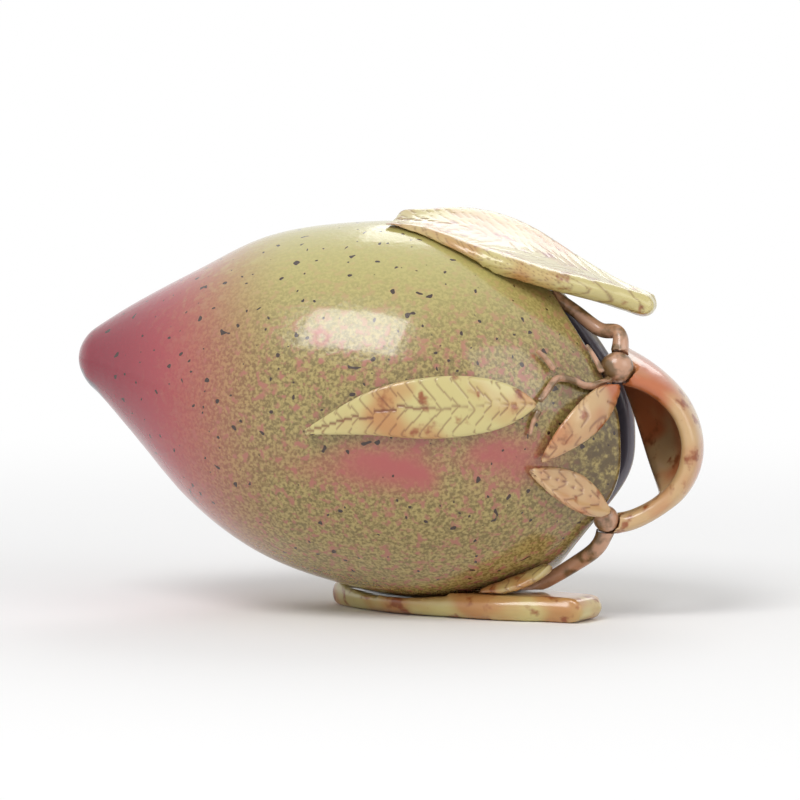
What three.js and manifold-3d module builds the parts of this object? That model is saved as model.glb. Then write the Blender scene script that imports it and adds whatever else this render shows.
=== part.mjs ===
// A peach-shaped porcelain water coupe, lying on its side on a leaf foot.
// Millimetres, +Z up. The peach's tip points to -X and its open stem end to +X; the side with the
// moulded leaf faces -Y. The origin is under the middle of the whole object, on the table.
import * as THREE from "three";
import { mergeVertices } from "three/addons/utils/BufferGeometryUtils.js";
import Module from "manifold-3d";

const wasm = await Module();
wasm.setup();

// Fit between two pieces that were luted together
const SEAT_GAP = 0.3;

// Peach body: a hollow shell pressed in two halves
const BODY_LENGTH = 110.6;
const BODY_RADIUS = 37.9;
const BODY_DEPTH_SHARE = 0.97; // a little narrower front to back than it is tall
const BELLY_CLEARANCE = 2.4; // belly above the table
const WALL = 3.2;
const SUTURE_DEPTH = 1.3;
const SUTURE_ANGLE = 103;
const SUTURE_SPREAD = 9;

// Mouth at the stem end: the cheeks reach furthest, the top and the bottom are notched back
const MOUTH_NOTCH_TOP = 17;
const MOUTH_NOTCH_BOTTOM = 13.4;
const NOTCH_POWER_TOP = 5;
const NOTCH_POWER_BOTTOM = 2.6;

// Leaf foot under the belly
const FOOT_THICKNESS = 5;
const FOOT_LENGTH = 62;
const FOOT_HALF_WIDTH = 15;

// Big leaf on the back of the fruit
const BACK_LEAF_THICKNESS = 4.2;
const BACK_LEAF_HALF_WIDTH = 14;
const BACK_LEAF_OVERHANG = 28;

// Curled leaf that stands out beyond the mouth as a finger loop
const LOOP_THICKNESS = 3.6;
const LOOP_REACH = 17.5;
const LOOP_DEPTH = 25;
const LOOP_STRIP_WIDTH = 3.6;

// Stems
const ARCH_RADIUS = 1.5;
const LOWER_STEM_RADIUS = 1.7;
const KNOT_RADIUS = 3.1;
const TWIG_HALF_WIDTH = 0.95;
const TWIG_HEIGHT = 1.3;

// Small leaves
const BUD_LEAF_THICKNESS = 1.8;
const BUD_LEAF_HALF_WIDTH = 3.2;
const SPRIG_LEAF_HALF_WIDTH = 5.9;
const SPRIG_LEAF_HEIGHT = 1.1;

// Facet counts
const BODY_RINGS = 27;
const HALF_SEGMENTS = 14;
const TUBE_SIDES = 8;

const rad = THREE.MathUtils.degToRad;
const lerp = THREE.MathUtils.lerp;
const v3 = (x, y, z) => new THREE.Vector3(x, y, z);
const spline = (points) => new THREE.CatmullRomCurve3(points, false, "catmullrom", 0.5);

// Body profile from the tip to the cheeks: share of length, height of the axis, share of radius.
const PROFILE = [
  [0.0, 9.5, 0.0],
  [0.005, 9.5, 0.066],
  [0.02, 9.4, 0.137],
  [0.047, 9.1, 0.203],
  [0.114, 7.2, 0.375],
  [0.224, 3.6, 0.641],
  [0.371, 2.1, 0.884],
  [0.59, 0.0, 1.0],
  [0.735, -1.2, 0.953],
  [0.845, -2.7, 0.807],
  [0.92, -4.3, 0.644],
  [1.0, -7.3, 0.47],
];
const AXIS_HEIGHT = BODY_RADIUS + BELLY_CLEARANCE;
const TIP_X = -0.577 * BODY_LENGTH;
const spine = spline(
  PROFILE.map(([along, rise, girth]) => v3(TIP_X + along * BODY_LENGTH, AXIS_HEIGHT + rise, girth * BODY_RADIUS)),
);

// The suture is a shallow valley on the near side that deepens towards the mouth.
function sutureDepth(t, angle) {
  const across = (angle - SUTURE_ANGLE) / SUTURE_SPREAD;
  return SUTURE_DEPTH * Math.exp(-across * across) * THREE.MathUtils.smoothstep(t, 0.3, 0.95);
}

// Angle 0 is the top of the fruit, 90 its near side (-Y), 180 its belly.
function bodySkin(t, angle) {
  const station = spine.getPoint(t);
  const radius = Math.max(0, station.z - sutureDepth(t, angle));
  const side = -radius * BODY_DEPTH_SHARE * Math.sin(rad(angle));
  return v3(station.x, side, station.y + radius * Math.cos(rad(angle)));
}

function bodyTangent(t, angle) {
  const step = 0.004;
  return bodySkin(Math.min(1, t + step), angle)
    .sub(bodySkin(Math.max(0, t - step), angle))
    .normalize();
}

function bodyNormal(t, angle) {
  if (t < 1e-6) return v3(-1, 0, 0);
  const around = bodySkin(t, angle + 1).sub(bodySkin(t, angle - 1));
  return new THREE.Vector3().crossVectors(around, bodyTangent(t, angle)).normalize();
}

// A point over the body's skin, lifted along the skin's normal.
function onBody(t, angle, lift = 0) {
  return bodySkin(t, angle).addScaledVector(bodyNormal(t, angle), lift);
}

// The share of the spine at which the body reaches a place along X.
function stationAt(x) {
  let low = 0;
  let high = 1;
  for (let i = 0; i < 40; i++) {
    const middle = (low + high) / 2;
    if (spine.getPoint(middle).x < x) low = middle;
    else high = middle;
  }
  return (low + high) / 2;
}

function mouthStation(angle) {
  const upness = Math.cos(rad(angle));
  const notch =
    upness > 0
      ? MOUTH_NOTCH_TOP * Math.pow(upness, NOTCH_POWER_TOP)
      : MOUTH_NOTCH_BOTTOM * Math.pow(-upness, NOTCH_POWER_BOTTOM);
  return stationAt(TIP_X + BODY_LENGTH - notch);
}

// A point of the body's skin by its place along the fruit, as a share of the body's length.
const skinAt = (along, angle, lift = 0) => onBody(stationAt(TIP_X + along * BODY_LENGTH), angle, lift);
const mouthPoint = (angle, lift = 0) => onBody(mouthStation(angle), angle, lift);

// A closed solid from corner points and faces that are lists of corners, seen from outside.
function solid(corners, faces) {
  const index = [];
  for (const face of faces)
    for (let i = 1; i < face.length - 1; i++) index.push(face[0], face[i], face[i + 1]);
  const geometry = new THREE.BufferGeometry().setFromPoints(corners).setIndex(index);
  return toManifold(geometry);
}

function toManifold(geometry) {
  const bare = geometry.clone();
  bare.deleteAttribute("normal");
  bare.deleteAttribute("uv");
  const merged = mergeVertices(bare, 1e-4);
  const triangles = [];
  const index = merged.index.array;
  for (let i = 0; i < index.length; i += 3) {
    const [a, b, c] = [index[i], index[i + 1], index[i + 2]];
    if (a !== b && b !== c && c !== a) triangles.push(a, b, c);
  }
  const made = new wasm.Manifold(
    new wasm.Mesh({
      numProp: 3,
      vertProperties: merged.attributes.position.array,
      triVerts: new Uint32Array(triangles),
    }),
  );
  if (made.volume() >= 0) return made;
  for (let i = 0; i < triangles.length; i += 3) [triangles[i], triangles[i + 1]] = [triangles[i + 1], triangles[i]];
  return new wasm.Manifold(
    new wasm.Mesh({
      numProp: 3,
      vertProperties: merged.attributes.position.array,
      triVerts: new Uint32Array(triangles),
    }),
  );
}

// The shell between two lifts over the body's skin, from one angle to another, with a round lip.
function shell(outerLift, innerLift, lipExtra, fromAngle, toAngle, segments) {
  const full = toAngle - fromAngle >= 360;
  const columns = full ? segments : segments + 1;
  const lipSteps = 4;
  const corners = [];
  const sections = []; // per column, corner numbers from the outer pole over the lip to the inner pole
  for (let j = 0; j < columns; j++) {
    const angle = lerp(fromAngle, toAngle, j / segments);
    const onSeam = !full && (j === 0 || j === segments);
    const end = mouthStation(angle);
    const section = [];
    const add = (point) => {
      if (onSeam) point.y = 0;
      section.push(corners.push(point) - 1);
    };
    for (let i = 0; i <= BODY_RINGS; i++) add(onBody((end * i) / BODY_RINGS, angle, outerLift));
    const normal = bodyNormal(end, angle);
    const tangent = bodyTangent(end, angle);
    const middle = bodySkin(end, angle).addScaledVector(normal, (outerLift + innerLift) / 2);
    const half = (outerLift - innerLift) / 2;
    for (let k = 1; k < lipSteps; k++) {
      const turn = (Math.PI * k) / lipSteps;
      add(
        middle
          .clone()
          .addScaledVector(normal, half * Math.cos(turn))
          .addScaledVector(tangent, (half + lipExtra) * Math.sin(turn)),
      );
    }
    for (let i = BODY_RINGS; i >= 0; i--) add(onBody((end * i) / BODY_RINGS, angle, innerLift));
    sections.push(section);
  }
  const faces = [];
  const count = sections[0].length;
  for (let j = 0; j < segments; j++) {
    const here = sections[j];
    const next = sections[(j + 1) % columns];
    for (let i = 0; i < count - 1; i++) faces.push([here[i], next[i], next[i + 1], here[i + 1]]);
  }
  if (!full)
    for (const [section, flip] of [
      [sections[0], false],
      [sections[segments], true],
    ])
      for (let i = 0; i < count / 2 - 1; i++) {
        const quad = [section[i], section[i + 1], section[count - 2 - i], section[count - 1 - i]];
        faces.push(flip ? quad.reverse() : quad);
      }
  return solid(corners, faces);
}

// A slab of even or changing thickness around a grid of middle points, with a rounded rim.
function slab(grid, thicknessAt, grow = 0) {
  const rows = grid.length;
  const columns = grid[0].length;
  const at = (i, j) => grid[THREE.MathUtils.clamp(i, 0, rows - 1)][THREE.MathUtils.clamp(j, 0, columns - 1)];
  const corners = [];
  const upper = [];
  const lower = [];
  for (let i = 0; i < rows; i++) {
    upper.push([]);
    lower.push([]);
    for (let j = 0; j < columns; j++) {
      const along = at(i + 1, j).clone().sub(at(i - 1, j));
      const across = at(i, j + 1).clone().sub(at(i, j - 1));
      const normal = new THREE.Vector3().crossVectors(along, across).normalize();
      const half = thicknessAt(i / (rows - 1), (2 * j) / (columns - 1) - 1) / 2 + grow;
      upper[i].push(corners.push(at(i, j).clone().addScaledVector(normal, half)) - 1);
      lower[i].push(corners.push(at(i, j).clone().addScaledVector(normal, -half)) - 1);
    }
  }
  const faces = [];
  for (let i = 0; i < rows - 1; i++)
    for (let j = 0; j < columns - 1; j++) {
      faces.push([upper[i][j], upper[i + 1][j], upper[i + 1][j + 1], upper[i][j + 1]]);
      faces.push([lower[i][j + 1], lower[i + 1][j + 1], lower[i + 1][j], lower[i][j]]);
    }
  const rim = [];
  for (let j = 0; j < columns; j++) rim.push([0, j, 1, j]);
  for (let i = 1; i < rows; i++) rim.push([i, columns - 1, i, columns - 2]);
  for (let j = columns - 2; j >= 0; j--) rim.push([rows - 1, j, rows - 2, j]);
  for (let i = rows - 2; i > 0; i--) rim.push([i, 0, i, 1]);
  const edge = rim.map(([i, j, innerRow, innerColumn]) => {
    const out = at(i, j).clone().sub(at(innerRow, innerColumn)).normalize();
    const bulge = thicknessAt(i / (rows - 1), (2 * j) / (columns - 1) - 1) * 0.35 + grow;
    return corners.push(at(i, j).clone().addScaledVector(out, bulge)) - 1;
  });
  rim.forEach(([i, j], k) => {
    const [nextRow, nextColumn] = rim[(k + 1) % rim.length];
    const nextEdge = edge[(k + 1) % rim.length];
    faces.push([upper[nextRow][nextColumn], nextEdge, edge[k], upper[i][j]]);
    faces.push([edge[k], nextEdge, lower[nextRow][nextColumn], lower[i][j]]);
  });
  return solid(corners, faces);
}

// A round stem along a curve, with blunt round ends. The radius may change along it.
function stem(points, radiusAt, steps, grow = 0) {
  const curve = spline(points);
  const frames = curve.computeFrenetFrames(steps, false);
  const corners = [];
  const rings = [];
  const ringAt = (centre, index, radius) => {
    const ring = [];
    for (let k = 0; k < TUBE_SIDES; k++) {
      const turn = (2 * Math.PI * k) / TUBE_SIDES;
      ring.push(
        corners.push(
          centre
            .clone()
            .addScaledVector(frames.normals[index], radius * Math.cos(turn))
            .addScaledVector(frames.binormals[index], radius * Math.sin(turn)),
        ) - 1,
      );
    }
    rings.push(ring);
  };
  for (let i = 0; i <= steps; i++) {
    const centre = curve.getPointAt(i / steps);
    const radius = radiusAt(i / steps) + grow;
    const tangent = frames.tangents[i];
    if (i === 0) ringAt(centre.clone().addScaledVector(tangent, -radius * 0.6), i, radius * 0.6);
    ringAt(centre, i, radius);
    if (i === steps) ringAt(centre.clone().addScaledVector(tangent, radius * 0.6), i, radius * 0.6);
  }
  const faces = [];
  for (let i = 0; i < rings.length - 1; i++)
    for (let k = 0; k < TUBE_SIDES; k++) {
      const next = (k + 1) % TUBE_SIDES;
      faces.push([rings[i][k], rings[i][next], rings[i + 1][next], rings[i + 1][k]]);
    }
  faces.push([...rings[0]].reverse(), rings[rings.length - 1]);
  return solid(corners, faces);
}

// A raised ridge modelled on the body's skin, through places given as [share of length, angle].
function ridge(places, widthAt, heightAt, steps, grow) {
  const section = [
    [-1, 0],
    [-0.75, 0.65],
    [0, 1],
    [0.75, 0.65],
    [1, 0],
  ];
  const path = spline(places.map(([along, angle]) => v3(stationAt(TIP_X + along * BODY_LENGTH), angle, 0)));
  const place = (share) => path.getPoint(share);
  const corners = [];
  const rings = [];
  for (let i = 0; i <= steps; i++) {
    const share = i / steps;
    const { x: t, y: angle } = place(share);
    const before = place(Math.max(0, share - 0.02));
    const after = place(Math.min(1, share + 0.02));
    const along = onBody(after.x, after.y).sub(onBody(before.x, before.y)).normalize();
    const normal = bodyNormal(t, angle);
    const side = new THREE.Vector3().crossVectors(normal, along).normalize();
    const base = onBody(t, angle, SEAT_GAP);
    rings.push(
      section.map(
        ([across, high]) =>
          corners.push(
            base
              .clone()
              .addScaledVector(side, across * (widthAt(share) + grow))
              .addScaledVector(normal, high * (heightAt(share) + grow)),
          ) - 1,
      ),
    );
  }
  const faces = [];
  for (let i = 0; i < rings.length - 1; i++)
    for (let k = 0; k < section.length; k++) {
      const next = (k + 1) % section.length;
      faces.push([rings[i][k], rings[i][next], rings[i + 1][next], rings[i + 1][k]]);
    }
  faces.push([...rings[0]].reverse(), rings[rings.length - 1]);
  return solid(corners, faces);
}

// A knot of stems: a squashed ball.
function knot(centre, [wide, deep, tall], grow = 0) {
  const ball = new THREE.SphereGeometry(1, 12, 8);
  ball.scale(wide + grow, deep + grow, tall + grow).translate(centre.x, centre.y, centre.z);
  return toManifold(ball);
}

// The outline of a leaf: 0 at its base, 1 at its tip, fullest in between.
const leafOutline = (share, fullest, blunt) => {
  const bend = Math.log(0.5) / Math.log(fullest);
  return Math.max(blunt, Math.pow(Math.sin(Math.PI * Math.pow(share, bend)), 0.8));
};

// Rows of middle points for a leaf along a curve. rollAt gives the side vector, foldAt the midrib's dip.
function leafGrid(points, halfWidthAt, sideAt, dipAt, rows, columns) {
  const curve = spline(points);
  const grid = [];
  for (let i = 0; i <= rows; i++) {
    const share = i / rows;
    const centre = curve.getPointAt(share);
    const along = curve.getTangentAt(share);
    const side = sideAt(share).addScaledVector(along, -sideAt(share).dot(along)).normalize();
    const normal = new THREE.Vector3().crossVectors(along, side).normalize();
    const row = [];
    for (let j = 0; j <= columns; j++) {
      const across = (2 * j) / columns - 1;
      row.push(
        centre
          .clone()
          .addScaledVector(side, across * halfWidthAt(share))
          .addScaledVector(normal, dipAt(share, across)),
      );
    }
    grid.push(row);
  }
  return grid;
}

// Places that several pieces share
const bodyKeepOut = shell(SEAT_GAP, -WALL - SEAT_GAP, SEAT_GAP, 0, 360, 2 * HALF_SEGMENTS);
const upperKnotPlace = mouthPoint(42).add(v3(3.2, 1.2, 0.3));
const lowerKnotPlace = mouthPoint(126).add(v3(0.9, 1.2, -2.0));
const upperKnotSize = [KNOT_RADIUS + 0.4, KNOT_RADIUS * 0.9, KNOT_RADIUS + 0.2];
const lowerKnotSize = [KNOT_RADIUS * 0.85, KNOT_RADIUS * 0.8, KNOT_RADIUS * 0.9];

// The two pressed halves meet face to face on the plane Y = 0.
const frontHalf = () => shell(0, -WALL, 0, 0, 180, HALF_SEGMENTS);
const backHalf = () => shell(0, -WALL, 0, 180, 360, HALF_SEGMENTS);

// The foot is a long leaf with a flat underside; it runs from behind the belly to the near right.
function footLeaf(grow = 0) {
  const middle = FOOT_THICKNESS / 2;
  const base = v3(-11.5, 9, middle);
  const reach = (share, side) => v3(base.x + share * FOOT_LENGTH * 0.86, base.y + side, middle);
  const path = [base, reach(0.28, -3), reach(0.52, -10), reach(0.74, -19.5), reach(0.98, -25)];
  const widthAt = (share) => FOOT_HALF_WIDTH * Math.max(0.32, leafOutline(share, 0.36, 0));
  const grid = leafGrid(path, widthAt, () => v3(0, 1, 0), () => 0, 16, 8);
  return slab(grid, () => FOOT_THICKNESS, grow);
}

// The back leaf lies on the fruit's shoulder and runs on over the mouth, rolled towards the near side.
function backLeaf(grow = 0) {
  const seated = [
    skinAt(0.582, 4, -1.0),
    skinAt(0.63, 6, -0.6),
    skinAt(0.7, 6, -0.5),
    skinAt(0.79, 5, 0.2),
  ];
  const free = (share, side, drop) =>
    seated[3].clone().add(v3(share * BACK_LEAF_OVERHANG, side, -drop * BACK_LEAF_OVERHANG));
  const path = [...seated, free(0.36, 0.4, 0.165), free(0.7, 0.6, 0.3), free(1, 0.6, 0.405)];
  const widthAt = (share) => BACK_LEAF_HALF_WIDTH * Math.max(0.36, leafOutline(share, 0.5, 0));
  const sideAt = (share) => {
    const roll = rad(lerp(15, -1, THREE.MathUtils.smoothstep(share, 0.25, 1)));
    return v3(0, Math.cos(roll), Math.sin(roll));
  };
  const thickness = (share) => BACK_LEAF_THICKNESS * lerp(0.55, 1, THREE.MathUtils.smoothstep(share, 0, 0.5));
  const grid = leafGrid(path, widthAt, sideAt, (share, across) => 0.9 * across * across, 18, 8);
  return slab(grid, thickness, grow);
}

// The curled leaf: a hood whose near margin loops from the upper knot out and back to the lower one.
function loopLeaf(grow = 0) {
  const top = upperKnotPlace;
  const bottom = lowerKnotPlace;
  const around = (down, out, back) =>
    v3(
      lerp(top.x, bottom.x, down) + out * LOOP_REACH,
      lerp(top.y, bottom.y, down) + back * LOOP_DEPTH,
      lerp(top.z, bottom.z, down),
    );
  const near = spline([
    around(0.08, 0.1, 0),
    around(0.15, 0.42, 0),
    around(0.3, 0.72, 0),
    around(0.5, 0.86, 0),
    around(0.7, 0.82, 0),
    around(0.88, 0.6, 0),
    around(0.985, 0.32, 0),
    around(1.02, 0.08, 0),
  ]);
  const strip = LOOP_STRIP_WIDTH / LOOP_DEPTH;
  const far = spline([
    around(0.1, -0.06, 1.0),
    around(0.28, 0.08, 1.0),
    around(0.5, 0.24, 0.92),
    around(0.7, 0.4, 0.7),
    around(0.84, 0.56, 0.3),
    around(0.9, 0.55, strip),
    around(0.985, 0.3, strip),
    around(1.02, 0.08, strip),
  ]);
  const rows = 22;
  const columns = 7;
  const hub = around(0.55, 0.3, 0.2);
  const grid = [];
  for (let i = 0; i <= rows; i++) {
    const share = i / rows;
    const a = near.getPoint(share);
    const b = far.getPoint(share);
    const width = a.distanceTo(b);
    const row = [];
    for (let j = 0; j <= columns; j++) {
      const across = j / columns;
      const point = a.clone().lerp(b, across);
      const outward = point.clone().sub(hub).normalize();
      row.push(point.addScaledVector(outward, width * 0.24 * Math.sin(Math.PI * across)));
    }
    grid.push(row);
  }
  const thickness = (share, across) => LOOP_THICKNESS * lerp(1, 0.7, ((across + 1) / 2) * (1 - share));
  return slab(grid, thickness, grow);
}

// A small pointed leaf from a base point to a tip, with the given side direction and crown.
function budLeaf(base, middle, tip, side, halfWidth, crown, grow) {
  const widthAt = (share) => halfWidth * leafOutline(share, 0.45, 0.12);
  const dip = (share, across) => crown * (1 - across * across) * Math.sin(Math.PI * share);
  const grid = leafGrid([base, middle, tip], widthAt, () => side.clone(), dip, 10, 4);
  return slab(grid, (share) => BUD_LEAF_THICKNESS * lerp(1, 0.6, share), grow);
}

const upperBudLeaf = (grow) =>
  budLeaf(
    upperKnotPlace.clone().add(v3(0.2, -1.6, -3.6)),
    skinAt(0.935, 78, 2.6),
    skinAt(0.868, 98, 1.4),
    v3(0.45, 0.25, -0.85),
    BUD_LEAF_HALF_WIDTH,
    0.6,
    grow,
  );

const lowerBudLeaf = (grow) =>
  budLeaf(
    lowerKnotPlace.clone().add(v3(0.6, -2.4, 1.6)),
    skinAt(0.93, 114, 2.0),
    skinAt(0.85, 102.5, 1.3),
    v3(0.1, 0.55, 0.83),
    BUD_LEAF_HALF_WIDTH * 1.1,
    0.9,
    grow,
  );

const bellyBudLeaf = (grow) =>
  budLeaf(
    skinAt(0.868, 153, 1.6),
    skinAt(0.81, 154, 1.7),
    skinAt(0.752, 156, 1.2),
    v3(0, -0.9, -0.42),
    BUD_LEAF_HALF_WIDTH * 0.75,
    0.5,
    grow,
  );

// The arched stem springs from under the back leaf and runs down across the mouth to the upper knot.
function archStem(grow) {
  const spring = mouthPoint(12, -1.2);
  const points = [
    spring.clone().add(v3(1.5, 0.5, -1.2)),
    spring.clone().add(v3(6.5, -0.2, -4.6)),
    spring.clone().add(v3(11.5, -1.2, -8.2)),
    upperKnotPlace.clone().add(v3(0.2, 3.2, 6.6)),
    upperKnotPlace.clone().add(v3(0.3, 0.6, 1.2)),
  ];
  return stem(points, (share) => ARCH_RADIUS * lerp(0.9, 1.25, share), 14, grow);
}

// The lower stem hangs from the lower knot under the mouth's edge and runs back along the belly.
function lowerStem(grow = 0) {
  const points = [
    lowerKnotPlace.clone().add(v3(0.2, 0.8, -1.2)),
    mouthPoint(140, 1.6).add(v3(2.0, 1.2, -2.0)),
    mouthPoint(156, 1.8).add(v3(0.8, 0.6, -0.6)),
    skinAt(0.845, 165, 1.9),
    skinAt(0.79, 163, 1.5),
    skinAt(0.745, 160, 0.9),
  ];
  return stem(points, (share) => LOWER_STEM_RADIUS * lerp(1.1, 0.8, share), 16, grow);
}

// The sprig leaf moulded flat on the near side.
function sprigLeaf(grow) {
  const middle = spline([
    v3(0.86, 77.5, 0),
    v3(0.79, 80.5, 0),
    v3(0.69, 83.5, 0),
    v3(0.58, 86.5, 0),
    v3(0.467, 94, 0),
  ]);
  const rows = 14;
  const columns = 6;
  const grid = [];
  for (let i = 0; i <= rows; i++) {
    const share = i / rows;
    const place = middle.getPoint(share);
    const half = SPRIG_LEAF_HALF_WIDTH * Math.max(0.1, leafOutline(share, 0.42, 0));
    const row = [];
    for (let j = 0; j <= columns; j++) {
      const across = (2 * j) / columns - 1;
      const degrees = THREE.MathUtils.radToDeg((across * half) / BODY_RADIUS);
      row.push(skinAt(place.x, place.y + degrees, SEAT_GAP + SPRIG_LEAF_HEIGHT / 2));
    }
    grid.push(row);
  }
  return slab(grid, () => SPRIG_LEAF_HEIGHT, grow);
}

const twigWidth = (share) => TWIG_HALF_WIDTH * lerp(1.1, 0.85, share);
const spurWidth = (share) => TWIG_HALF_WIDTH * lerp(0.95, 0.4, share);
const twigHeight = () => TWIG_HEIGHT;
const spurHeight = (share) => TWIG_HEIGHT * lerp(0.95, 0.55, share);

const mainTwig = (grow) =>
  ridge(
    [
      [0.981, 43],
      [0.972, 50],
      [0.945, 59.5],
      [0.918, 61],
      [0.893, 64],
      [0.88, 70],
      [0.8655, 76],
    ],
    twigWidth,
    twigHeight,
    18,
    grow,
  );
const stubTwig = (grow) =>
  ridge([[0.888, 60.8], [0.872, 57.8], [0.858, 56.5]], spurWidth, twigHeight, 6, grow);
const thornTwig = (grow) =>
  ridge([[0.866, 79.2], [0.858, 84], [0.852, 89.5]], spurWidth, spurHeight, 6, grow);
const hangingTwig = (grow) =>
  ridge([[0.947, 63.5], [0.9495, 69], [0.951, 76]], spurWidth, spurHeight, 6, grow);
const risingTwig = (grow) =>
  ridge([[0.965, 45.8], [0.95, 39.5], [0.936, 35.5]], spurWidth, spurHeight, 6, grow);

// Glazes
const fruitGlaze = { color: 0xc9b183, roughness: 0.22 };
const leafGlaze = { color: 0xe3cfa8, roughness: 0.3 };
const orangeGlaze = { color: 0xe0b184, roughness: 0.3 };
const stemGlaze = { color: 0xc3a27a, roughness: 0.35 };

// Pieces in the order they are luted on: each is cut to fit the body and the pieces before it.
const LUTED = [
  ["foot_leaf", footLeaf, leafGlaze],
  ["back_leaf", backLeaf, leafGlaze],
  ["upper_knot", (grow) => knot(upperKnotPlace, upperKnotSize, grow), stemGlaze],
  ["lower_knot", (grow) => knot(lowerKnotPlace, lowerKnotSize, grow), stemGlaze],
  ["arch_stem", archStem, stemGlaze],
  ["lower_stem", lowerStem, stemGlaze],
  ["loop_leaf", loopLeaf, orangeGlaze],
  ["upper_bud_leaf", upperBudLeaf, orangeGlaze],
  ["lower_bud_leaf", lowerBudLeaf, orangeGlaze],
  ["belly_bud_leaf", bellyBudLeaf, leafGlaze],
  ["sprig_leaf", sprigLeaf, leafGlaze],
  ["main_twig", mainTwig, stemGlaze],
  ["stub_twig", stubTwig, stemGlaze],
  ["thorn_twig", thornTwig, stemGlaze],
  ["hanging_twig", hangingTwig, stemGlaze],
  ["rising_twig", risingTwig, stemGlaze],
];

// The largest single body of a cut piece; chips cut loose from it are dropped.
const largest = (made) => made.decompose().reduce((best, chip) => (chip.volume() > best.volume() ? chip : best));

const pieces = [
  ["body_front_half", frontHalf(), fruitGlaze],
  ["body_back_half", backHalf(), fruitGlaze],
];
const taken = [bodyKeepOut];
for (const [name, make, glaze] of LUTED) {
  const cut = taken.reduce((made, earlier) => made.subtract(earlier), make(0));
  pieces.push([name, largest(cut), glaze]);
  taken.push(make(SEAT_GAP));
}

function toMesh(name, made, glaze) {
  const { vertProperties, triVerts } = made.getMesh();
  const geometry = new THREE.BufferGeometry();
  geometry.setAttribute("position", new THREE.BufferAttribute(vertProperties, 3));
  geometry.setIndex(new THREE.BufferAttribute(triVerts, 1));
  geometry.computeVertexNormals();
  const mesh = new THREE.Mesh(geometry, new THREE.MeshStandardMaterial({ ...glaze, metalness: 0 }));
  mesh.name = name;
  return mesh;
}

const coupe = new THREE.Group();
for (const [name, made, glaze] of pieces) coupe.add(toMesh(name, made, glaze));
const box = new THREE.Box3().setFromObject(coupe, true);
coupe.position.set(-(box.min.x + box.max.x) / 2, -(box.min.y + box.max.y) / 2, -box.min.z);

export default coupe;
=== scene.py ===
# Looks of a peach-shaped porcelain water coupe, in metres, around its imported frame.
import math

import bmesh
import bpy
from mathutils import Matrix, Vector


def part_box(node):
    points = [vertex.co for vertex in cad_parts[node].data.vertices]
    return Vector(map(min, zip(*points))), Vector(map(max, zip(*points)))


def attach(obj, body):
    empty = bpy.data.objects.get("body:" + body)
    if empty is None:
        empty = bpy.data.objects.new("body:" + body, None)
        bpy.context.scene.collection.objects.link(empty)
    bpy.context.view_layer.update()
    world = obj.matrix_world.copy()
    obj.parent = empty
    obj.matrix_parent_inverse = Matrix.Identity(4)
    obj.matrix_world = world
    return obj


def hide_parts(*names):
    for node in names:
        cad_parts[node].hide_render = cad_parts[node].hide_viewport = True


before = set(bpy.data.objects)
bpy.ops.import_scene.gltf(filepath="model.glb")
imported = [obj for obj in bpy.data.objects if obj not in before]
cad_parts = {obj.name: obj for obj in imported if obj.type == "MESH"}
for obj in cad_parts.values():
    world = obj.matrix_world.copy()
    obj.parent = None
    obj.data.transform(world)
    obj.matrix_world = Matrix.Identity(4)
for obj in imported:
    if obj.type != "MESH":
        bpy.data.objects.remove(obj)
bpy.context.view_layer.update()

MM = 0.001

# The photograph's view
CAMERA_AZIMUTH = math.radians(7.5)
CAMERA_RISE = math.radians(5.0)
CAMERA_DISTANCE = 1.2
CAMERA_NEAR = 0.01
CAMERA_FAR = 20
FIELD_WIDTH = 0.160
SENSOR = 36.0
AIM = Vector((0.00165, 0.0008, 0.042))

# Floor and light
FLOOR_REACH = 0.9
FLOOR_SHADE = 0.95
FLOOR_ROUGHNESS = 0.9
FLOOR_FADE_START = 0.09
FLOOR_FADE_END = 0.4
WORLD_STRENGTH = 0.5
LAMP_TARGET = Vector((0, 0, 0.04))
LAMPS = (  # name, place, watts, size
    ("key", (-0.25, -0.7, 0.9), 5.5, 0.5),
    ("fill", (0.8, -0.5, 0.5), 1.8, 0.6),
    ("back", (0.1, 0.9, 0.8), 2.5, 0.6),
)

# Skins over the solids
BODY_AXIS_HEIGHT = 40.3 * MM
WELD = 2e-5
ON_SEAM = 1e-5
FLAT_ENOUGH = math.radians(35)
SQUARE_ENOUGH = math.radians(60)
SMOOTHING = 2
INWARD = -0.1

# Veins pressed into the leaves
VEIN_SPACING = 3.2 * MM
VEIN_WIDTH = 0.32 * MM
VEIN_DEPTH = 0.15 * MM
SIDE_VEIN_WIDTH = 0.7 * VEIN_WIDTH
SIDE_VEIN_STRENGTH = 0.7
SIDE_VEIN_SLANT = 0.9
LEAF_SLICE = 1.5 * MM

# Glaze surface
FRUIT_ROUGHNESS = 0.24
LEAF_ROUGHNESS = 0.28
STEM_ROUGHNESS = 0.32
COAT = 0.6
COAT_ROUGHNESS = 0.08
DIMPLE_STRENGTH = 0.25
DIMPLE_DEPTH = 0.4 * MM

# Marks on the fruit, as centres and half sizes
RING_PLACE = (-0.0097, -0.0312, 0.0568)
RING_OUTER = (0.0024, 0.005, 0.0024)
RING_INNER = (0.0015, 0.005, 0.0015)
BLUSH_PLACE = (0.014, -0.034, 0.033)
BLUSH_SIZE = (0.042, 0.02, 0.009)
# A patchy darker brown at the mouth end is painted shade
MOUTH_SHADE_PLACE = (0.047, -0.018, 0.036)
MOUTH_SHADE_SIZE = (0.017, 0.022, 0.03)

# Heights and lengths over which one glaze turns into the next, and over which painted light comes in
# on the tops of the fruit and leaves
# The fruit turns paler towards its top: painted light from above
LIT_TOP_FROM = 0.05
LIT_TOP_TO = 0.076
LIT_TOP_SHARE = 0.85
TIP_FROM = -0.016
TIP_TO = -0.046
TIP_RAGGEDNESS = 0.035
CRIMSON_TO = -0.060
ROSE_FROM = -0.035
# The leaves turn paler on their highest parts: painted light from above
LEAF_LIT_RISE = 0.004
LEAF_LIT_SHARE = 0.2
VEIN_SHARE = 0.85


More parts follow.
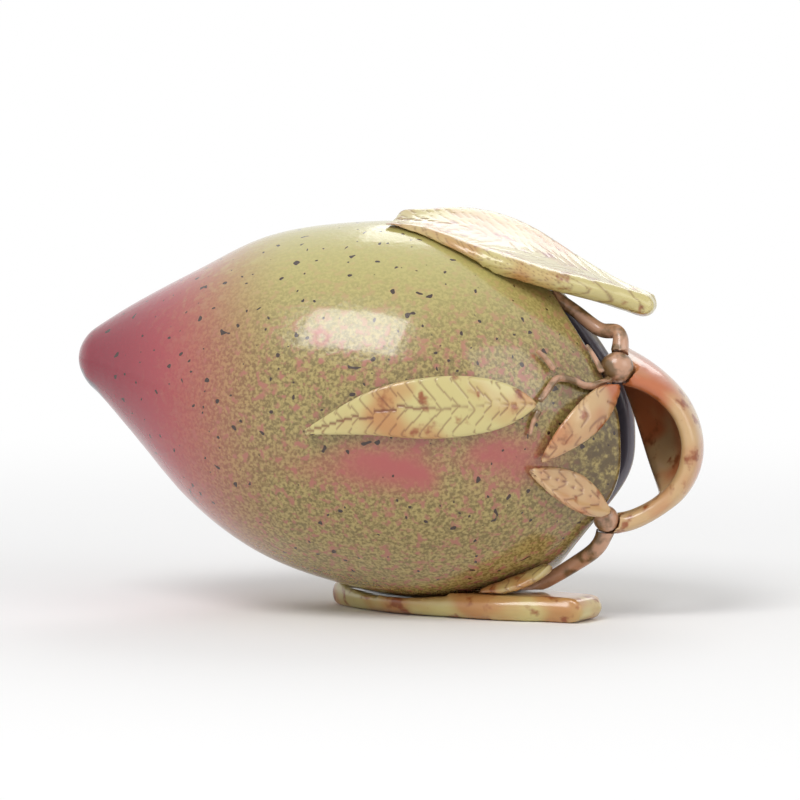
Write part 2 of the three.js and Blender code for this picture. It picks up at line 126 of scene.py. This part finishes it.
def paint(red, green, blue):
    """A colour written as seen on screen, 0 to 255."""
    linear = [
        ((c / 255 + 0.055) / 1.055) ** 2.4 if c > 10 else c / 255 / 12.92
        for c in (red, green, blue)
    ]
    return (*linear, 1.0)


OLIVE = paint(124, 106, 58)
STRAW = paint(178, 158, 96)
DUSKY_PINK = paint(172, 112, 92)
# Pale green on the fruit's top is painted light
LIT_TOP_GREEN = paint(198, 190, 118)
CRIMSON = paint(138, 24, 48)
ROSE = paint(176, 72, 78)
BLUSH = paint(176, 88, 84)
RING_RED = paint(168, 30, 40)
# Dark brown for the painted shade at the mouth end
MOUTH_SHADE_BROWN = paint(96, 78, 44)
IRON_BLACK = paint(58, 38, 28)
# Grey-white glaze inside, darkened with the painted shade of the hollow
SHADED_INSIDE_DARK = paint(84, 80, 94)
SHADED_INSIDE_LIGHT = paint(120, 114, 122)
LEAF_CREAM = paint(206, 192, 128)
LEAF_OCHRE = paint(192, 138, 82)
LEAF_BUFF = paint(206, 170, 122)
LEAF_ORANGE = paint(190, 108, 64)
LEAF_RUST = paint(150, 82, 40)
# Pale cream on the leaves' tops is painted light
LEAF_LIT_TOP = paint(235, 228, 190)
VEIN_BROWN = paint(112, 52, 26)
STEM_BEIGE = paint(196, 150, 120)
STEM_BROWN = paint(120, 92, 58)


def camera():
    data = bpy.data.cameras.new("camera")
    data.sensor_width = SENSOR
    data.lens = SENSOR * CAMERA_DISTANCE / FIELD_WIDTH
    data.clip_start = CAMERA_NEAR
    data.clip_end = CAMERA_FAR
    eye = bpy.data.objects.new("camera", data)
    out = Vector((
        math.sin(CAMERA_AZIMUTH) * math.cos(CAMERA_RISE),
        -math.cos(CAMERA_AZIMUTH) * math.cos(CAMERA_RISE),
        math.sin(CAMERA_RISE),
    ))
    eye.location = AIM + CAMERA_DISTANCE * out
    eye.rotation_euler = (-out).to_track_quat("-Z", "Y").to_euler()
    bpy.context.scene.collection.objects.link(eye)
    bpy.context.scene.camera = eye


class Glaze:
    """A material's nodes, worked out from the place on the object."""

    def __init__(self, name):
        self.material = bpy.data.materials.new(name)
        self.material.use_nodes = True
        self.tree = self.material.node_tree
        self.shader = self.tree.nodes["Principled BSDF"]
        self.place = self.node("ShaderNodeTexCoord").outputs["Object"]
        split = self.node("ShaderNodeSeparateXYZ")
        self.link(self.place, split.inputs[0])
        self.x, self.y, self.z = split.outputs

    def node(self, kind):
        return self.tree.nodes.new(kind)

    def link(self, output, socket):
        self.tree.links.new(output, socket)

    def feed(self, socket, value):
        if isinstance(value, bpy.types.NodeSocket):
            self.link(value, socket)
        else:
            socket.default_value = value

    def math(self, operation, a, b):
        made = self.node("ShaderNodeMath")
        made.operation = operation
        made.use_clamp = operation == "MULTIPLY"
        self.feed(made.inputs[0], a)
        self.feed(made.inputs[1], b)
        return made.outputs[0]

    def range(self, value, low, high):
        """0 at low and 1 at high, with a soft start and end."""
        made = self.node("ShaderNodeMapRange")
        made.interpolation_type = "SMOOTHSTEP"
        for socket, given in zip(made.inputs[:3], (value, low, high)):
            self.feed(socket, given)
        return made.outputs[0]

    def noise(self, scale, detail):
        made = self.node("ShaderNodeTexNoise")
        self.link(self.place, made.inputs["Vector"])
        made.inputs["Scale"].default_value = scale
        made.inputs["Detail"].default_value = detail
        return made.outputs["Fac"]

    def weight(self, name):
        """A weight that the skin's own points carry."""
        made = self.node("ShaderNodeAttribute")
        made.attribute_name = name
        return made.outputs["Fac"]

    def vector(self, operation, a, b=None):
        made = self.node("ShaderNodeVectorMath")
        made.operation = operation
        self.link(a, made.inputs[0])
        if b is not None:
            made.inputs[1].default_value = b
        return made.outputs["Value" if operation == "LENGTH" else "Vector"]

    def spot(self, centre, half_size):
        """1 in the middle of an oval region and 0 outside it."""
        offset = self.vector("SUBTRACT", self.place, centre)
        share = self.vector("DIVIDE", offset, half_size)
        return self.range(self.vector("LENGTH", share), 1.0, 0.25)

    def mix(self, share, a, b):
        made = self.node("ShaderNodeMix")
        made.data_type = "RGBA"
        self.feed(made.inputs[0], share)
        self.feed(made.inputs[6], a)
        self.feed(made.inputs[7], b)
        return made.outputs[2]

    def finish(self, colour, roughness, dimples):
        self.feed(self.shader.inputs["Base Color"], colour)
        self.shader.inputs["Roughness"].default_value = roughness
        self.shader.inputs["Coat Weight"].default_value = COAT
        self.shader.inputs["Coat Roughness"].default_value = COAT_ROUGHNESS
        bump = self.node("ShaderNodeBump")
        bump.inputs["Strength"].default_value = DIMPLE_STRENGTH
        bump.inputs["Distance"].default_value = DIMPLE_DEPTH
        self.link(dimples, bump.inputs["Height"])
        self.link(bump.outputs[0], self.shader.inputs["Normal"])
        return self.material


def speckled_ground(glaze, fine, medium):
    """Olive and straw speckle with dusky pink, turning paler along the top of the fruit as painted
    light.
    """
    ground = glaze.mix(glaze.range(fine, 0.36, 0.66), OLIVE, STRAW)
    ground = glaze.mix(glaze.range(medium, 0.5, 0.68), ground, DUSKY_PINK)
    # Painted light: the fruit is paler the higher it goes
    pale = glaze.math("MULTIPLY", glaze.range(glaze.z, LIT_TOP_FROM, LIT_TOP_TO), LIT_TOP_SHARE)
    return glaze.mix(pale, ground, LIT_TOP_GREEN)


def crimson_tip(glaze, ground, medium):
    """The tip's red, which fades along the fruit with a ragged edge."""
    ragged = glaze.math("MULTIPLY", glaze.math("SUBTRACT", medium, 0.5), TIP_RAGGEDNESS)
    tip = glaze.math("ADD", glaze.x, ragged)
    red = glaze.mix(glaze.range(glaze.x, CRIMSON_TO, ROSE_FROM), CRIMSON, ROSE)
    return glaze.mix(glaze.range(tip, TIP_FROM, TIP_TO), ground, red)


def painted_marks(glaze, ground, medium, broad):
    """Blush beside the suture, the small red ring, painted shade at the mouth end and the iron spots.
    """
    blush = glaze.math("MULTIPLY", glaze.spot(BLUSH_PLACE, BLUSH_SIZE), glaze.range(broad, 0.3, 0.6))
    ground = glaze.mix(blush, ground, BLUSH)
    outside_hole = glaze.math("SUBTRACT", 1.0, glaze.spot(RING_PLACE, RING_INNER))
    ring = glaze.math("MULTIPLY", glaze.spot(RING_PLACE, RING_OUTER), outside_hole)
    ground = glaze.mix(ring, ground, RING_RED)
    # Painted shade: patchy darker brown at the mouth end
    mouth_shade = glaze.math("MULTIPLY", glaze.spot(MOUTH_SHADE_PLACE, MOUTH_SHADE_SIZE), glaze.range(medium, 0.35, 0.6))
    ground = glaze.mix(mouth_shade, ground, MOUTH_SHADE_BROWN)
    return glaze.mix(glaze.range(glaze.noise(640, 0), 0.765, 0.785), ground, IRON_BLACK)


def fruit_glaze():
    glaze = Glaze("fruit_glaze")
    fine = glaze.noise(1500, 3)
    medium = glaze.noise(620, 3)
    broad = glaze.noise(55, 3)
    ground = speckled_ground(glaze, fine, medium)
    ground = crimson_tip(glaze, ground, medium)
    ground = painted_marks(glaze, ground, medium, broad)
    # Inside: grey-white glaze with painted shade, varying at random
    hollow = glaze.mix(broad, SHADED_INSIDE_DARK, SHADED_INSIDE_LIGHT)
    colour = glaze.mix(glaze.weight("inside"), ground, hollow)
    return glaze.finish(colour, FRUIT_ROUGHNESS, medium)


def leaf_glaze(name, pale, warm, lit_top_height):
    """Pale and warm clouds, rust flecks, painted light that makes the highest parts paler, and brown
    in the veins.
    """
    glaze = Glaze(name)
    medium = glaze.noise(260, 3)
    colour = glaze.mix(glaze.range(glaze.noise(70, 2), 0.45, 0.66), pale, warm)
    colour = glaze.mix(glaze.range(medium, 0.56, 0.7), colour, LEAF_RUST)
    # Painted light: paler above the given height
    painted_leaf_light = glaze.range(glaze.z, lit_top_height, lit_top_height + LEAF_LIT_RISE)
    colour = glaze.mix(glaze.math("MULTIPLY", painted_leaf_light, LEAF_LIT_SHARE), colour, LEAF_LIT_TOP)
    vein = glaze.math("MULTIPLY", glaze.weight("vein"), VEIN_SHARE)
    colour = glaze.mix(vein, colour, VEIN_BROWN)
    return glaze.finish(colour, LEAF_ROUGHNESS, medium)


def stem_glaze():
    glaze = Glaze("stem_glaze")
    medium = glaze.noise(300, 3)
    colour = glaze.mix(glaze.range(medium, 0.42, 0.6), STEM_BEIGE, STEM_BROWN)
    return glaze.finish(colour, STEM_ROUGHNESS, medium)


def welded_mesh(name, nodes, seam):
    """The nodes' shapes as one mesh of mostly four-sided faces, open where they meet at the seam."""
    whole = bmesh.new()
    for node in nodes:
        whole.from_mesh(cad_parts[node].data)
    bmesh.ops.remove_doubles(whole, verts=whole.verts, dist=WELD)
    if seam is not None:
        flat = [f for f in whole.faces if all(abs(v.co.y - seam) < ON_SEAM for v in f.verts)]
        bmesh.ops.delete(whole, geom=flat, context="FACES")
    bmesh.ops.join_triangles(
        whole,
        faces=whole.faces,
        angle_face_threshold=FLAT_ENOUGH,
        angle_shape_threshold=SQUARE_ENOUGH,
    )
    bmesh.ops.recalc_face_normals(whole, faces=whole.faces)
    mesh = bpy.data.meshes.new(name)
    whole.to_mesh(mesh)
    whole.free()
    return mesh


def smooth_piece(name, nodes, material, seam=None, levels=SMOOTHING):
    """A smooth glazed skin that stands for one or more nodes."""
    mesh = welded_mesh(name, nodes, seam)
    piece = bpy.data.objects.new(name, mesh)
    bpy.context.scene.collection.objects.link(piece)
    round_off = piece.modifiers.new("round_off", "SUBSURF")
    round_off.levels = levels
    round_off.render_levels = levels
    mesh.materials.append(material)
    for face in mesh.polygons:
        face.use_smooth = True
    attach(piece, "root")
    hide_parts(*nodes)
    return piece


def mark_inside(piece, seam):
    """Weights the skin that faces the hollow, so that it takes the grey glaze darkened with painted
    shade.
    """
    mesh = piece.data
    inside = mesh.attributes.new("inside", "FLOAT", "POINT")
    for vertex in mesh.vertices:
        out = Vector((0.0, vertex.co.y - seam, vertex.co.z - BODY_AXIS_HEIGHT)).normalized()
        inside.data[vertex.index].value = float(vertex.normal.dot(out) < INWARD)


def smoothed_mesh(piece):
    """Applies the piece's smoothing, so that its fine points can be moved."""
    bpy.context.view_layer.update()
    shaped = piece.evaluated_get(bpy.context.evaluated_depsgraph_get())
    mesh = bpy.data.meshes.new_from_object(shaped)
    mesh.name = piece.name
    piece.modifiers.clear()
    piece.data = mesh
    return mesh


def slice_centres(mesh, base, along):
    """The middle of the leaf in each slice across it."""
    slices = {}
    for vertex in mesh.vertices:
        number = round((vertex.co - base).dot(along) / LEAF_SLICE)
        slices.setdefault(number, []).append(vertex.co.copy())
    return {number: sum(places, Vector()) / len(places) for number, places in slices.items()}


def vein_share(distance, across):
    """1 in the groove of the midrib or of a slanting side vein, and 0 between them."""
    rib = math.exp(-((across / VEIN_WIDTH) ** 2))
    phase = ((distance - across * SIDE_VEIN_SLANT) / VEIN_SPACING) % 1.0
    side = math.exp(-(((phase - 0.5) * VEIN_SPACING / SIDE_VEIN_WIDTH) ** 2))
    return max(rib, side * SIDE_VEIN_STRENGTH)


def cut_veins(piece, base, tip):
    """Presses a midrib and herringbone side veins into a leaf, and weights them for the dark glaze."""
    mesh = smoothed_mesh(piece)
    along = (tip - base).normalized()
    centres = slice_centres(mesh, base, along)
    vein = mesh.attributes.new("vein", "FLOAT", "POINT")
    moved = []
    for vertex in mesh.vertices:
        distance = (vertex.co - base).dot(along)
        offset = vertex.co - centres[round(distance / LEAF_SLICE)]
        offset -= along * offset.dot(along)
        offset -= vertex.normal * offset.dot(vertex.normal)
        share = vein_share(distance, offset.length)
        vein.data[vertex.index].value = share
        moved.append(vertex.co - vertex.normal * VEIN_DEPTH * share)
    for vertex, place in zip(mesh.vertices, moved):
        vertex.co = place


def mix_shaders(tree, share, usual, white, output):
    choice = tree.nodes.new("ShaderNodeMixShader")
    tree.links.new(share, choice.inputs[0])
    tree.links.new(usual, choice.inputs[1])
    tree.links.new(white, choice.inputs[2])
    tree.links.new(choice.outputs[0], output)


def combine(tree, operation, a, b):
    made = tree.nodes.new("ShaderNodeMath")
    made.operation = operation
    tree.links.new(a, made.inputs[0])
    tree.links.new(b, made.inputs[1])
    return made.outputs[0]


def show_white(tree):
    """Shows the world plain white to the camera and in reflections, with its light unchanged."""
    rays = tree.nodes.new("ShaderNodeLightPath").outputs
    seen = combine(tree, "MAXIMUM", rays["Is Camera Ray"], rays["Is Transmission Ray"])
    seen = combine(tree, "MAXIMUM", seen, rays["Is Glossy Ray"])
    white = tree.nodes.new("ShaderNodeBackground")
    white.inputs["Color"].default_value = (1, 1, 1, 1)
    lit = tree.nodes["Background"].outputs[0]
    mix_shaders(tree, seen, lit, white.outputs[0], tree.nodes["World Output"].inputs[0])


def fade_floor(tree, shader):
    """Lets the floor run out to plain white for the camera, away from the object and its shadow."""
    place = tree.nodes.new("ShaderNodeTexCoord")
    length = tree.nodes.new("ShaderNodeVectorMath")
    length.operation = "LENGTH"
    tree.links.new(place.outputs["Object"], length.inputs[0])
    far = tree.nodes.new("ShaderNodeMapRange")
    far.interpolation_type = "SMOOTHSTEP"
    tree.links.new(length.outputs["Value"], far.inputs["Value"])
    far.inputs["From Min"].default_value = FLOOR_FADE_START
    far.inputs["From Max"].default_value = FLOOR_FADE_END
    rays = tree.nodes.new("ShaderNodeLightPath").outputs
    share = combine(tree, "MULTIPLY", far.outputs[0], rays["Is Camera Ray"])
    white = tree.nodes.new("ShaderNodeEmission")
    surface = tree.nodes["Material Output"].inputs[0]
    mix_shaders(tree, share, shader.outputs[0], white.outputs[0], surface)


def floor():
    mesh = bpy.data.meshes.new("floor")
    corners = [(-1, -1), (1, -1), (1, 1), (-1, 1)]
    places = [(x * FLOOR_REACH, y * FLOOR_REACH, 0) for x, y in corners]
    mesh.from_pydata(places, [], [(0, 1, 2, 3)])
    ground = bpy.data.objects.new("floor", mesh)
    bpy.context.scene.collection.objects.link(ground)
    material = bpy.data.materials.new("floor")
    material.use_nodes = True
    shader = material.node_tree.nodes["Principled BSDF"]
    shader.inputs["Roughness"].default_value = FLOOR_ROUGHNESS
    shader.inputs["Base Color"].default_value = (FLOOR_SHADE, FLOOR_SHADE, FLOOR_SHADE, 1)
    fade_floor(material.node_tree, shader)
    mesh.materials.append(material)


def light():
    world = bpy.data.worlds.new("world")
    world.use_nodes = True
    background = world.node_tree.nodes["Background"]
    background.inputs["Color"].default_value = (1, 1, 1, 1)
    background.inputs["Strength"].default_value = WORLD_STRENGTH
    show_white(world.node_tree)
    bpy.context.scene.world = world
    for name, place, power, size in LAMPS:
        data = bpy.data.lights.new(name, "AREA")
        data.energy = power
        data.size = size
        lamp = bpy.data.objects.new(name, data)
        lamp.location = place
        lamp.rotation_euler = (LAMP_TARGET - Vector(place)).to_track_quat("-Z", "Y").to_euler()
        bpy.context.scene.collection.objects.link(lamp)
    bpy.context.scene.view_settings.view_transform = "Standard"


def fruit():
    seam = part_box("body_front_half")[1][1]
    halves = ["body_front_half", "body_back_half"]
    shell = smooth_piece("peach_shell", halves, fruit_glaze(), seam)
    mark_inside(shell, seam)


def veined_leaf(node, material, levels):
    skin = smooth_piece(node + "_skin", [node], material, levels=levels)
    low, high = (Vector(corner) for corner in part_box(node))
    middle = (low + high) / 2
    base = Vector((high.x, middle.y, middle.z))
    tip = Vector((low.x, middle.y, middle.z))
    cut_veins(skin, base, tip)


def leaves():
    cream = leaf_glaze("cream_leaf", LEAF_CREAM, LEAF_OCHRE, 0.075)
    orange = leaf_glaze("orange_leaf", LEAF_BUFF, LEAF_ORANGE, 0.06)
    smooth_piece("foot_leaf_skin", ["foot_leaf"], cream)
    smooth_piece("loop_leaf_skin", ["loop_leaf"], orange)
    veined_leaf("back_leaf", cream, SMOOTHING + 1)
    veined_leaf("belly_bud_leaf", cream, SMOOTHING + 1)
    veined_leaf("sprig_leaf", cream, SMOOTHING + 2)
    veined_leaf("upper_bud_leaf", orange, SMOOTHING + 1)
    veined_leaf("lower_bud_leaf", orange, SMOOTHING + 1)


def stems():
    glaze = stem_glaze()
    knots_and_stems = ("upper_knot", "lower_knot", "arch_stem", "lower_stem")
    twigs = ("main_twig", "stub_twig", "thorn_twig", "hanging_twig", "rising_twig")
    for node in knots_and_stems + twigs:
        smooth_piece(node + "_skin", [node], glaze)


camera()
floor()
light()
fruit()
leaves()
stems()
